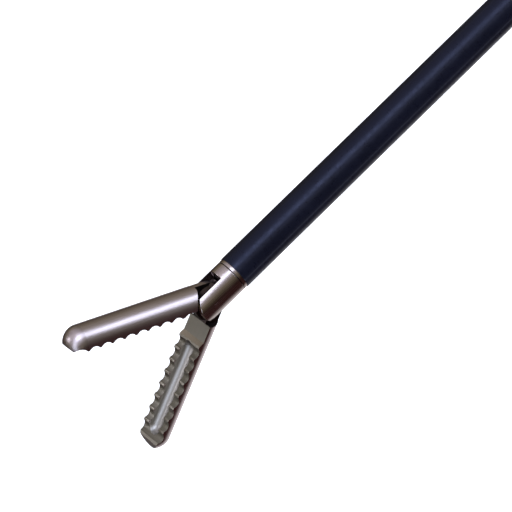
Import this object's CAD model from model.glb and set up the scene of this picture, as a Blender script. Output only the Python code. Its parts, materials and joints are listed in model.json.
# %% [markdown]
# # Laparoscopic grasper
# A long, thin instrument for keyhole surgery: two toothed jaws in a steel fork, an insulated
# shaft, a turning knob and a ring handle. The CAD frame gives the sizes and the joints. Blender
# gives each piece its finish, and makes anew the pieces whose fine forms CAD leaves plain.

import json
import math

import bmesh
import bpy
from mathutils import Matrix, Vector


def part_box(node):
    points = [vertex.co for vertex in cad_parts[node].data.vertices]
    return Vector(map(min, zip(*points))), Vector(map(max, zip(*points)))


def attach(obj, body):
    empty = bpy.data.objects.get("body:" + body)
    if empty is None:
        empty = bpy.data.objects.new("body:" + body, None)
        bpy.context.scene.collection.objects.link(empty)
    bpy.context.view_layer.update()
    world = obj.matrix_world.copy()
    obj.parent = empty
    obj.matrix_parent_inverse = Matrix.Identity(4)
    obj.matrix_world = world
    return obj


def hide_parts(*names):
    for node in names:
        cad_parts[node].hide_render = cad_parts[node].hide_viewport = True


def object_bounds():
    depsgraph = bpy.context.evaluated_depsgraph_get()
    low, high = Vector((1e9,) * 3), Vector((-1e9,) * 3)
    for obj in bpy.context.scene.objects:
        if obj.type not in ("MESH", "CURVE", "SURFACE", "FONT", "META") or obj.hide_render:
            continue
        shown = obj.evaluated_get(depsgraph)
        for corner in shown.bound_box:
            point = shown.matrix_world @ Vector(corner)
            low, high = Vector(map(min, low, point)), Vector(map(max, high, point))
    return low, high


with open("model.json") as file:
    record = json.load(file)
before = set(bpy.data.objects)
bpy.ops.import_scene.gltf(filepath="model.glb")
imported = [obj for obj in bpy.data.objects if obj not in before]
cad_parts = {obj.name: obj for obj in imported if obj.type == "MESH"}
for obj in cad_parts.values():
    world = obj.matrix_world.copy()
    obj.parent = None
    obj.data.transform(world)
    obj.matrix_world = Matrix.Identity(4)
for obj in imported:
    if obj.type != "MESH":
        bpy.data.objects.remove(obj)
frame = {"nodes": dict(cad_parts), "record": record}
bpy.context.scene.view_settings.view_transform = "Standard"
cad_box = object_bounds()
nodes = frame["nodes"]
MM = 0.001
print(len(nodes), "CAD pieces")

# %% [markdown]
# ## Camera
# The photograph shows only the tip, seen from above and from the side. A camera that was fitted to
# the outlines of the shaft and jaws gives the place below, with a long lens.

# %% Camera
PIVOT = Vector((-0.3077, 0, 0))
back = Vector((-0.1715, -0.7381, 0.6526)).normalized()
right = Vector((0.7046, -0.5548, -0.4423)).normalized()
up = back.cross(right).normalized()
right = up.cross(back)
lens_data = bpy.data.cameras.new("camera")
SENSOR, FOCAL, IMAGE = 36, 2673.4, 512        # mm, pixels, pixels
lens_data.lens = FOCAL / IMAGE * SENSOR
lens_data.sensor_width = SENSOR
lens_data.clip_start, lens_data.clip_end = 0.01, 20
camera = bpy.data.objects.new("camera", lens_data)
bpy.context.scene.collection.objects.link(camera)
turned = Matrix((right, up, back)).transposed().to_4x4()
camera.matrix_world = Matrix.Translation(PIVOT + Vector((-0.0517, -0.2595, 0.2289))) @ turned
bpy.context.scene.camera = camera
print("camera at", tuple(round(v, 4) for v in camera.location))

# %% [markdown]
# ## Floor
# The photograph is a product shot on white. A pale floor lies under the finger ring. The steel in
# the photograph mirrors a dim room in front of it and not the white, so the floor is left out of
# glossy reflections, and the world below the horizon is a dim brown.

# %% Floor
floor_level = cad_box[0].z
form = bmesh.new()
bmesh.ops.create_grid(form, x_segments=1, y_segments=1, size=6)
bmesh.ops.translate(form, vec=(0, 0, floor_level - 0.5 * MM), verts=form.verts)
floor_mesh = bpy.data.meshes.new("floor")
form.to_mesh(floor_mesh)
form.free()
floor = bpy.data.objects.new("floor", floor_mesh)
bpy.context.scene.collection.objects.link(floor)
white = bpy.data.materials.new("floor_white")
white.use_nodes = True
paint = white.node_tree.nodes["Principled BSDF"].inputs
paint["Base Color"].default_value = (0.9, 0.9, 0.9, 1)
paint["Roughness"].default_value = 0.9
paint["Emission Color"].default_value = (1, 1, 1, 1)
paint["Emission Strength"].default_value = 0.75
floor_mesh.materials.append(white)
floor.visible_glossy = False
print("floor at", round(floor_level / MM, 2), "mm")

# %% [markdown]
# ## World and lamps
# What polished steel shows is its surroundings, so they are built first. The world is violet-white
# overhead, olive grey at mid height, and dim brown at the horizon and below it. On top of that lies a
# white patch far down behind the instrument, where the lit table is. That gives the steel its dark
# lower side with a bright strip at its very edge.
# The long bands on fork and jaw come from one arch of soft boxes, which runs from the handle's side
# over the instrument to its tip, and a small one behind draws the streak in the lower jaw's trough.

# %% World
world = bpy.data.worlds.new("studio")
world.use_nodes = True
bpy.context.scene.world = world
tree = world.node_tree
sky = tree.nodes["Background"]
look = tree.nodes.new("ShaderNodeTexCoord")
split = tree.nodes.new("ShaderNodeSeparateXYZ")
level = tree.nodes.new("ShaderNodeMapRange")
level.inputs["From Min"].default_value = -1
fade = tree.nodes.new("ShaderNodeValToRGB")
stops = ((0.0, (0.050, 0.018, 0.017)), (0.42, (0.036, 0.014, 0.013)), (0.53, (0.088, 0.074, 0.044)),
         (0.66, (0.185, 0.163, 0.105)), (0.78, (0.32, 0.292, 0.225)), (0.92, (0.56, 0.54, 0.60)),
         (1.0, (0.90, 0.88, 0.95)))
while len(fade.color_ramp.elements) < len(stops):
    fade.color_ramp.elements.new(0.5)
for element, (place, colour) in zip(fade.color_ramp.elements, stops):
    element.position = place
    element.color = colour + (1,)
tree.links.new(look.outputs["Generated"], split.inputs["Vector"])
tree.links.new(split.outputs["Z"], level.inputs["Value"])
tree.links.new(level.outputs["Result"], fade.inputs["Fac"])
table_way = tree.nodes.new("ShaderNodeVectorMath")
table_way.operation = "DOT_PRODUCT"
table_way.inputs[1].default_value = Vector((0.24, 0.45, -0.86)).normalized()
patch = tree.nodes.new("ShaderNodeMapRange")
patch.inputs["From Min"].default_value = 0.66
patch.inputs["From Max"].default_value = 0.93
join = tree.nodes.new("ShaderNodeMix")
join.data_type = "RGBA"
join.inputs["B"].default_value = (0.92, 0.90, 0.92, 1)
tree.links.new(look.outputs["Generated"], table_way.inputs[0])
tree.links.new(table_way.outputs["Value"], patch.inputs["Value"])
tree.links.new(patch.outputs["Result"], join.inputs["Factor"])
tree.links.new(fade.outputs["Color"], join.inputs["A"])
tree.links.new(join.outputs["Result"], sky.inputs["Color"])
sky.inputs["Strength"].default_value = 1.0


def lamp(name, place, target, size, power, colour, side_way):
    """A soft box that points at a target, with its height along side_way."""
    data = bpy.data.lights.new(name, "AREA")
    data.shape = "RECTANGLE"
    data.size, data.size_y = size
    data.energy = power
    data.color = colour
    out = (Vector(place) - Vector(target)).normalized()
    wide = Vector(side_way).cross(out).normalized()
    axes = Matrix((wide, out.cross(wide), out)).transposed().to_4x4()
    thing = bpy.data.objects.new(name, data)
    bpy.context.scene.collection.objects.link(thing)
    thing.matrix_world = Matrix.Translation(place) @ axes
    print("lamp", name, power, "W")


TIP = Vector((-0.31, 0, 0))
ARCH_RADIUS, ARCH_FRONT, BOX, BLUE_WHITE = 1.15, -0.45, (0.68, 0.5), (0.67, 0.78, 1.0)
for name, angle, power in (("arch_right", 24, 3.85), ("arch_high", 57, 2.9), ("arch_top", 90, 5.5),
                           ("arch_left", 123, 2.6), ("arch_low", 156, 2.6)):
    turn = math.radians(angle)
    place = TIP + Vector((ARCH_RADIUS * math.cos(turn), ARCH_FRONT, ARCH_RADIUS * math.sin(turn)))
    lamp(name, place, TIP, BOX, power, BLUE_WHITE, (0, 1, 0))
lamp("trough_box", (-1.1, 0.62, 0.85), TIP, (0.35, 0.35), 2.0, (0.82, 0.86, 1.0), (0, 0, 1))

# %% [markdown]
# ## Finishes
# Each finish is a node tree on Object coordinates, so its scale is real: a grain of 0.2 mm is 0.2 mm
# on every piece. A helper joins the usual nodes: noise for cloudy colour, noise for roughness, and
# a fine bump.


# %% Finish helpers
class Finish:
    """A material with short ways to add nodes that work in millimetres."""

    def __init__(self, name, colour, rough, metal=0.0):
        self.material = bpy.data.materials.new(name)
        self.material.use_nodes = True
        self.tree = self.material.node_tree
        self.shader = self.tree.nodes["Principled BSDF"]
        self.socket = self.shader.inputs
        self.socket["Base Color"].default_value = tuple(colour) + (1,)
        self.socket["Roughness"].default_value = rough
        self.socket["Metallic"].default_value = metal
        self.colour = colour
        self.place = self.tree.nodes.new("ShaderNodeTexCoord").outputs["Object"]
        self.bumps = None

    def node(self, kind, **values):
        made = self.tree.nodes.new(kind)
        for name, value in values.items():
            setattr(made, name, value)
        return made

    def noise(self, size, detail=3.0, turn=0.0):
        """Noise whose lumps have a size in millimetres along X, Y and Z, turned about Y."""
        mapping = self.node("ShaderNodeMapping", vector_type="TEXTURE")
        mapping.inputs["Rotation"].default_value = (0, math.radians(turn), 0)
        mapping.inputs["Scale"].default_value = [value * MM for value in size]
        grain = self.node("ShaderNodeTexNoise")
        grain.inputs["Scale"].default_value = 1.0
        grain.inputs["Detail"].default_value = detail
        self.tree.links.new(self.place, mapping.inputs["Vector"])
        self.tree.links.new(mapping.outputs["Vector"], grain.inputs["Vector"])
        return grain.outputs["Fac"]

    def spread(self, factor, low, high, start=0.35, end=0.65):
        """Maps a noise from its usual range to low and high."""
        step = self.node("ShaderNodeMapRange")
        for name, value in (("From Min", start), ("From Max", end), ("To Min", low), ("To Max", high)):
            step.inputs[name].default_value = value
        self.tree.links.new(factor, step.inputs["Value"])
        return step.outputs["Result"]

    def cloud(self, factor, dark, light):
        """Colour that drifts between a darker and a lighter tone of the finish."""
        mix = self.node("ShaderNodeMix", data_type="RGBA")
        mix.inputs["A"].default_value = tuple(v * dark for v in self.colour) + (1,)
        mix.inputs["B"].default_value = tuple(min(1.0, v * light) for v in self.colour) + (1,)
        self.tree.links.new(self.spread(factor, 0, 1), mix.inputs["Factor"])
        self.tree.links.new(mix.outputs["Result"], self.socket["Base Color"])

    def roughen(self, factor, low, high):
        self.tree.links.new(self.spread(factor, low, high), self.socket["Roughness"])

    def bump(self, factor, height):
        """Adds a bump of a height in millimetres on top of those before it."""
        step = self.node("ShaderNodeBump")
        step.inputs["Strength"].default_value = 1.0
        step.inputs["Distance"].default_value = height * MM
        self.tree.links.new(factor, step.inputs["Height"])
        if self.bumps:
            self.tree.links.new(self.bumps, step.inputs["Normal"])
        self.bumps = step.outputs["Normal"]
        self.tree.links.new(self.bumps, self.socket["Normal"])

    def wear(self, tone, start=0.53, end=0.62):
        """A lighter tone where an edge stands out, as handling rubs it."""
        bent = self.node("ShaderNodeNewGeometry").outputs["Pointiness"]
        mix = self.node("ShaderNodeMix", data_type="RGBA")
        before = self.socket["Base Color"].links
        if before:
            self.tree.links.new(before[0].from_socket, mix.inputs["A"])
        else:
            mix.inputs["A"].default_value = tuple(self.colour) + (1,)
        mix.inputs["B"].default_value = tuple(tone) + (1,)
        self.tree.links.new(self.spread(bent, 0, 1, start, end), mix.inputs["Factor"])
        self.tree.links.new(mix.outputs["Result"], self.socket["Base Color"])


def ground_steel(name, colour, rough, turn=0.0, grind=0.0015, lines=(6.0, 0.12, 0.12)):
    """Satin steel with grinding lines along X, turned about Y with the piece."""
    finish = Finish(name, colour, rough, metal=1.0)
    along = finish.noise(lines, 4.0, turn)
    finish.cloud(finish.noise((5, 2, 2), 2.0, turn), 0.9, 1.08)
    finish.roughen(along, rough - 0.03, rough + 0.04)
    finish.bump(along, grind)
    finish.bump(finish.noise((0.8, 0.8, 0.8)), grind)
    finish.wear(tuple(min(1.0, v * 1.25) for v in colour))
    return finish.material


def moulded_plastic(name, colour, rough, grain=0.012, size=0.45, shine=0.5, tint=(1, 1, 1)):
    """Moulded plastic with a fine eroded grain and faint clouds."""
    finish = Finish(name, colour, rough)
    finish.socket["Specular IOR Level"].default_value = shine
    finish.socket["Specular Tint"].default_value = tuple(tint) + (1,)
    pits = finish.noise((size, size, size), 5.0)
    finish.cloud(finish.noise((9, 9, 9), 3.0), 0.86, 1.16)
    finish.roughen(pits, rough - 0.07, rough + 0.08)
    finish.bump(pits, grain)
    finish.bump(finish.noise((12, 12, 12), 1.0), grain * 2)
    finish.wear(tuple(min(1.0, v * 1.5 + 0.02) for v in colour))
    return finish.material


# %% [markdown]
# ## Finishes of the tip
# The jaws and fork are warm grey, satin ground stainless steel, ground along each piece. The sleeve
# is a thin, slightly glossy film of near-black blue plastic, shrunk on the tube. Screws and nuts are
# a cooler steel, so that they stay grey in the brown light of the room.

# %% Tip finishes
jaw_grey = (0.44, 0.375, 0.372)
fork_grey = (0.42, 0.356, 0.336)
FINISHES = {
    "upper_jaw_steel": ground_steel("upper_jaw_steel", jaw_grey, 0.33, 30.6),
    "lower_jaw_steel": ground_steel("lower_jaw_steel", jaw_grey, 0.22, -30.6),
    "trough_steel": ground_steel("trough_steel", (0.365, 0.342, 0.314), 0.41, -30.6, 0.0008),
    "crest_steel": ground_steel("crest_steel", (0.27, 0.245, 0.205), 0.45, -30.6),
    "slope_steel": ground_steel("slope_steel", (0.385, 0.335, 0.272), 0.42, -30.6),
    "valley_steel": ground_steel("valley_steel", (0.215, 0.198, 0.165), 0.5, -30.6),
    "recess_steel": ground_steel("recess_steel", (0.06, 0.045, 0.043), 0.42),
    "fork_steel": ground_steel("fork_steel", fork_grey, 0.25),
    "blade_steel": ground_steel("blade_steel", (0.30, 0.28, 0.27), 0.3),
    "screw_steel": ground_steel("screw_steel", (0.50, 0.60, 0.64), 0.38),
    "bright_steel": ground_steel("bright_steel", (0.62, 0.61, 0.61), 0.27, grind=0.001),
    "tube_steel": ground_steel("tube_steel", (0.55, 0.54, 0.54), 0.24, grind=0.001),
    "insulation": moulded_plastic("insulation", (0.0042, 0.0048, 0.011), 0.33, 0.0008, 0.8, 0.26,
                                  (0.62, 0.66, 1.0)),
}
print(len(FINISHES), "finishes for the tip")

# %% [markdown]
# ## Finishes of the handle
# The shells and lever are black glass-filled plastic with an eroded grain, the knob a dark grey one,
# and the button blue so that the hand finds it. The small fittings are brass, rubber and white
# bearing plastic.

# %% Handle finishes
FINISHES.update({
    "handle_black": moulded_plastic("handle_black", (0.012, 0.0125, 0.0145), 0.40, 0.012, 0.4, 0.4),
    "knob_grey": moulded_plastic("knob_grey", (0.055, 0.059, 0.067), 0.38, 0.012, 0.4, 0.45),
    "button_blue": moulded_plastic("button_blue", (0.025, 0.10, 0.27), 0.34, 0.008, 0.4, 0.45),
    "collar_black": moulded_plastic("collar_black", (0.02, 0.02, 0.022), 0.22, 0.005, 0.8),
    "bearing_plastic": moulded_plastic("bearing_plastic", (0.78, 0.78, 0.74), 0.35, 0.006, 0.6),
    "seal_rubber": moulded_plastic("seal_rubber", (0.03, 0.03, 0.03), 0.55, 0.006, 0.3),
    "contact_brass": ground_steel("contact_brass", (0.72, 0.5, 0.2), 0.25, grind=0.001),
})
by_slot = dict(FINISHES, jaw_steel=FINISHES["upper_jaw_steel"])
for part in frame["record"]["subparts"]:
    piece = nodes[part["node"]]
    piece.data.materials.clear()
    piece.data.materials.append(by_slot[part["material_slot"]])
nodes["rod_blade"].data.materials[0] = FINISHES["blade_steel"]
nodes["outer_tube"].data.materials[0] = FINISHES["recess_steel"]
print(len(FINISHES), "finishes in all")

# %% [markdown]
# ## Steel pieces with soft edges
# No edge on a real instrument is sharp: it is tumbled or polished, and the thin line of light along
# it tells the eye how big the piece is. For the milled steel pieces a copy of the CAD mesh is merged,
# its flat faces are joined, and the sharp edges get a small bevel. That keeps the teeth, the trough
# and the slots where CAD has them.


# %% Softened copies
def finish_piece(name, form, material, body, replaced=(), smooth_angle=35):
    """Turns a bmesh into a piece that rides on a body and stands for CAD nodes."""
    mesh = bpy.data.meshes.new(name)
    form.to_mesh(mesh)
    form.free()
    mesh.shade_smooth()
    mesh.set_sharp_from_angle(angle=math.radians(smooth_angle))
    for finish in [material] if isinstance(material, str) else material:
        mesh.materials.append(FINISHES[finish])
    piece = bpy.data.objects.new(name, mesh)
    bpy.context.scene.collection.objects.link(piece)
    shading = piece.modifiers.new("even_shading", "WEIGHTED_NORMAL")
    shading.keep_sharp, shading.weight = True, 100
    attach(piece, body)
    if replaced:
        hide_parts(*replaced)
    print(name, len(mesh.polygons), "faces")


def merged_copy(name):
    """A CAD node as a closed mesh, with the triangles of each flat face joined."""
    form = bmesh.new()
    form.from_mesh(nodes[name].data)
    bmesh.ops.remove_doubles(form, verts=form.verts, dist=0.0005 * MM)
    bmesh.ops.dissolve_limit(form, angle_limit=math.radians(0.3), verts=form.verts, edges=form.edges,
                             delimit={"NORMAL"})
    return form


def soften(form, width, angle=28, chosen=lambda middle: True, segments=2):
    """Bevels the edges that are sharper than the angle and pass the test of their middle."""
    edges = [edge for edge in form.edges if len(edge.link_faces) == 2
             and edge.calc_face_angle(0) > math.radians(angle)
             and chosen((edge.verts[0].co + edge.verts[1].co) / 2)]
    bmesh.ops.bevel(form, geom=edges, affect="EDGES", offset=width * MM, offset_type="OFFSET",
                    segments=segments, profile=0.5, material=-1, clamp_overlap=True)
    return form


def add_form(form, extra):
    """Moves the faces of one bmesh into another."""
    mesh = bpy.data.meshes.new("extra")
    extra.to_mesh(mesh)
    extra.free()
    form.from_mesh(mesh)
    bpy.data.meshes.remove(mesh)


# %% [markdown]
# ## Jaws
# The two jaws share one milled form. The milling and grinding leave different surfaces: satin on the
# back and in the trough, blasted and dull in the valleys and on the crests, a lighter tan on the
# ground slope before the teeth, and dark on the hollow shoulder and the tang, where light hardly
# reaches. Each face gets its finish from where it lies along the jaw and over the jaw's middle plane.
#
# Beside the tang each jaw has a heel, a sector of a disc that keeps light from shining through the
# slit between jaw and fork. It is spun about the pivot, inside the circle that the shoulder of the
# other jaw leaves free.


# %% Jaw surfaces
CREST, VALLEY, TOUCH = 0.17 * MM, -0.23 * MM, 0.01 * MM
SWING = math.radians(30.6)
SHOULDER, SHOULDER_WALL, NECK, ROOT = 3.25 * MM, 2.9 * MM, 3.2 * MM, 4 * MM
SURFACES = BACK, CRESTS, VALLEYS, RECESS, TROUGH, SLOPE = range(6)
HEEL_IN, HEEL_OUT, HEEL_NEAR, HEEL_FAR = 1.8 * MM, 2.65 * MM, 0.4 * MM, 1.1 * MM
HEEL_START, HEEL_TURN, HEEL_STEPS = math.radians(-32), math.radians(64), 16


def jaw_surface(face, lift, slope_end):
    """Says which surface of a jaw a face belongs to, from its place and direction."""
    face_way = Vector((-math.sin(SWING), 0, lift * math.cos(SWING)))
    tip_way = Vector((-math.cos(SWING), 0, -lift * math.sin(SWING)))
    middle = face.calc_center_median() - PIVOT
    along, over, faces_up = middle.dot(tip_way), middle.dot(face_way), face.normal.dot(face_way)
    radius, faces_side = math.hypot(middle.x, middle.z), abs(face.normal.y)
    if radius < SHOULDER and along < NECK and (lift > 0 or faces_side > 0.9 or radius > SHOULDER_WALL):
        return RECESS
    if faces_side < 0.1 and over > VALLEY - TOUCH and along > ROOT:
        if along < slope_end and (over > CREST - TOUCH or faces_up < 0.97):
            return SLOPE
        return CRESTS if over > CREST - TOUCH else VALLEYS
    return TROUGH if faces_up > 0.1 and over < 0 else BACK


def heel_sector(lift):
    """A sector of a disc round the pivot, in the half of the slot on the jaw's side."""
    heel = bmesh.new()
    corners = ((HEEL_IN, HEEL_NEAR), (HEEL_OUT, HEEL_NEAR), (HEEL_OUT, HEEL_FAR), (HEEL_IN, HEEL_FAR))
    ring = [heel.verts.new(PIVOT + Vector((-radius, -lift * side, 0))) for radius, side in corners]
    end = heel.faces.new(ring)
    bmesh.ops.rotate(heel, cent=PIVOT, matrix=Matrix.Rotation(HEEL_START, 3, "Y"), verts=ring)
    bmesh.ops.spin(heel, geom=ring + list(end.edges) + [end], axis=(0, 1, 0), cent=PIVOT,
                   angle=HEEL_TURN, steps=HEEL_STEPS)
    bmesh.ops.recalc_face_normals(heel, faces=heel.faces)
    for face in heel.faces:
        face.material_index = RECESS
    return heel


# %% Jaws
for name, lift, back_finish, slope_end in (("upper_jaw", -1, "upper_jaw_steel", 5.2 * MM),
                                           ("lower_jaw", 1, "lower_jaw_steel", 6.1 * MM)):
    form = merged_copy(name)
    for face in form.faces:
        face.material_index = jaw_surface(face, lift, slope_end)
    print(name, [sum(face.material_index == kind for face in form.faces) for kind in SURFACES])
    soften(form, width=0.03, angle=20)
    add_form(form, heel_sector(lift))
    jaw_finishes = (back_finish, "crest_steel", "valley_steel", "recess_steel", "trough_steel", "slope_steel")
    finish_piece(name + "_ground", form, jaw_finishes, name, (name,), smooth_angle=24)

# %% [markdown]
# ## Fork and pivot pin
# The fork is one turned and slotted piece, and its slot is dark inside. In the photograph fork and
# end ring are a little wider than in CAD, so both are swollen by three per cent. The pivot pin is
# riveted and ground flush, so the photograph shows no pin at all: the copy of the pin is a little
# thicker than its hole, and the hole's rim stays sharp.


# %% Fork
SWELL, PIN_SWELL = 1.03, 1.09
HOLE, SLOT_HALF, TURNED, BORE = 0.6 * MM, 1.3 * MM, 2.2 * MM, 0.9 * MM
INSIDE = 1        # the second finish of the fork


def off_pin(middle):
    """True for an edge that isn't on the rim of the pin's hole."""
    return math.hypot(middle.x - PIVOT.x, middle.z) > HOLE


form = merged_copy("clevis")
for face in form.faces:
    middle = face.calc_center_median()
    radius = math.hypot(middle.y, middle.z)
    in_slot = abs(face.normal.y) > 0.9 and abs(middle.y) < SLOT_HALF
    if radius < TURNED and abs(face.normal.x) < 0.9 and (in_slot or radius < BORE):
        face.material_index = INSIDE
bmesh.ops.scale(form, vec=(1, SWELL, SWELL), verts=form.verts)
finish_piece("fork", soften(form, width=0.1, chosen=off_pin, segments=3), ("fork_steel", "recess_steel"),
             "shaft", ("clevis",))
form = merged_copy("jaw_pivot_pin")
bmesh.ops.translate(form, vec=-PIVOT, verts=form.verts)
bmesh.ops.scale(form, vec=(PIN_SWELL, SWELL, PIN_SWELL), verts=form.verts)
bmesh.ops.translate(form, vec=PIVOT, verts=form.verts)
finish_piece("flush_pin", form, "fork_steel", "shaft", ("jaw_pivot_pin",))

# %% [markdown]
# ## Turned pieces
# The end ring and the sleeve are turned shapes. Each is an outline of a few points, spun round the
# shaft's axis in 96 steps, with the corners bevelled afterwards.


# %% Turned pieces
def spun(outline, steps=96):
    """Spins a closed outline of (along, radius) in millimetres round the X axis."""
    form = bmesh.new()
    ring = [form.verts.new((along * MM, 0, radius * MM)) for along, radius in outline]
    rim = [form.edges.new((ring[n - 1], ring[n])) for n in range(len(ring))]
    bmesh.ops.spin(form, geom=ring + rim, axis=(1, 0, 0), cent=(0, 0, 0), angle=math.tau, steps=steps,
                   use_merge=True)
    bmesh.ops.remove_doubles(form, verts=form.verts, dist=0.0005 * MM)
    bmesh.ops.recalc_face_normals(form, faces=form.faces)
    return form


ring_low, ring_high = (corner.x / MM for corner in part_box("end_ring"))
ring_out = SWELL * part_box("end_ring")[1].z / MM
tube_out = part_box("outer_tube")[1].z / MM
finish_piece("end_ring_turned", soften(spun([
    (ring_low, tube_out), (ring_high, tube_out), (ring_high, ring_out), (ring_low, ring_out)]), 0.035),
    "fork_steel", "shaft", ("end_ring",))
sleeve_low, sleeve_high = (corner.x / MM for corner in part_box("insulation_sleeve"))
sleeve_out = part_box("insulation_sleeve")[1].z / MM
finish_piece("sleeve", soften(spun([
    (sleeve_low, tube_out), (sleeve_high, tube_out), (sleeve_high, sleeve_out), (sleeve_low, sleeve_out)]),
    0.09, segments=3), "insulation", "shaft", ("insulation_sleeve",))

# %% [markdown]
# ## Knob, shells, lever and button
# Moulded pieces have round edges and a parting line. Copies of the CAD pieces get a bevel at each
# sharp edge, and where the two shells meet, their bevels leave the fine groove of the parting line.
# The connector post and the nuts are softened in the same way.

# %% Moulded pieces
for name, node, width, material, body in (
        ("knob_moulded", "rotation_knob", 0.35, "knob_grey", "shaft"),
        ("left_shell", "handle_shell_left", 0.22, "handle_black", "handle"),
        ("right_shell", "handle_shell_right", 0.22, "handle_black", "handle"),
        ("lever_moulded", "thumb_lever", 0.3, "handle_black", "lever"),
        ("button_moulded", "release_button", 0.25, "button_blue", "button"),
        ("post_turned", "hf_post", 0.2, "bright_steel", "handle"),
        ("collar_moulded", "hf_collar", 0.3, "collar_black", "handle"),
        ("nuts", "casing_nuts", 0.12, "screw_steel", "handle")):
    finish_piece(name, soften(merged_copy(node), width), material, body, (node,))

# %% [markdown]
# ## Casing screws
# The shells are held by socket-head screws. A screw is made from two rings of points: a circle with 48
# corners and the hexagon of the socket. A bridge of faces joins them, the hexagon is pushed down for
# the socket and closed, and the circle is pulled down for the chamfer, the head's side, the step to
# the shank, and the shank.

# %% Casing screws
# along, height and half the handle's width there, in millimetres
SPOTS = ((30.8, 7.8, 9), (52.0, -7.5, 9), (79.7, -2.0, 9), (47.0, -19.0, 5), (30.1, -85.5, 5))
HEAD, HEAD_DEPTH, CHAMFER = 2.2 * MM, 1.25 * MM, 0.25 * MM
SHANK, SHANK_SPARE, SOCKET, SOCKET_DEPTH, SINK = 1.25 * MM, 1.9 * MM, 1.15 * MM, 1.0 * MM, 0.4 * MM


def edges_of(verts):
    """The edges at some points, each once and always in the same order."""
    return list(dict.fromkeys(edge for vert in verts for edge in vert.link_edges))


def socket_screw(length):
    """A screw that looks along Z, with its head at the origin and a shank of a length below it."""
    form = bmesh.new()
    rim = bmesh.ops.create_circle(form, segments=48, radius=HEAD - CHAMFER)["verts"]
    hexagon = bmesh.ops.create_circle(form, segments=6, radius=SOCKET)["verts"]
    rim_edges, hexagon_edges = edges_of(rim), edges_of(hexagon)
    bmesh.ops.bridge_loops(form, edges=rim_edges + hexagon_edges)
    walls = bmesh.ops.extrude_edge_only(form, edges=hexagon_edges)["geom"]
    floor_verts = [item for item in walls if isinstance(item, bmesh.types.BMVert)]
    bmesh.ops.translate(form, vec=(0, 0, -SOCKET_DEPTH), verts=floor_verts)
    bmesh.ops.contextual_create(form, geom=floor_verts)
    for drop, grow in ((CHAMFER, HEAD / (HEAD - CHAMFER)), (HEAD_DEPTH, 1), (0, SHANK / HEAD), (length, 1)):
        skirt = bmesh.ops.extrude_edge_only(form, edges=rim_edges)["geom"]
        rim_edges = [item for item in skirt if isinstance(item, bmesh.types.BMEdge)]
        rim = [item for item in skirt if isinstance(item, bmesh.types.BMVert)]
        rim_edges = [edge for edge in rim_edges if all(vert in rim for vert in edge.verts)]
        bmesh.ops.scale(form, vec=(grow, grow, 1), verts=rim)
        bmesh.ops.translate(form, vec=(0, 0, -drop), verts=rim)
    bmesh.ops.contextual_create(form, geom=rim)
    bmesh.ops.recalc_face_normals(form, faces=form.faces)
    return form


heads = bmesh.new()
for along, height, half in SPOTS:
    head = socket_screw(2 * (half * MM - SINK) - SHANK_SPARE)
    bmesh.ops.rotate(head, matrix=Matrix.Rotation(math.radians(90), 3, "X"), verts=head.verts)
    bmesh.ops.translate(head, vec=(along * MM, SINK - half * MM, height * MM), verts=head.verts)
    add_form(heads, head)
finish_piece("casing_screws_turned", soften(heads, width=0.06, angle=40), "screw_steel", "handle",
             ("casing_screws",))

# %% [markdown]
# ## Ribs on the button
# The release button has four low ribs, so that a wet glove does not slip. A rib is a bar with rounded
# edges, sunk into the button's crown.

# %% Button ribs
RIBS, RIB_STEP, RIB_WIDTH, RIB_LENGTH, RIB_SINK = 4, 1.9 * MM, 0.9 * MM, 6.2 * MM, 0.15 * MM
button_low, button_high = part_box("release_button")
ribs = bmesh.new()
for number in range(RIBS):
    bar = bmesh.ops.create_cube(ribs, size=1)["verts"]
    bmesh.ops.scale(ribs, vec=(RIB_WIDTH, RIB_LENGTH, RIB_WIDTH), verts=bar)
    shift = (number - (RIBS - 1) / 2) * RIB_STEP
    place = ((button_low.x + button_high.x) / 2 + shift, 0, button_high.z - RIB_SINK)
    bmesh.ops.translate(ribs, vec=place, verts=bar)
finish_piece("button_ribs", soften(ribs, width=0.4, segments=4), "button_blue", "button")
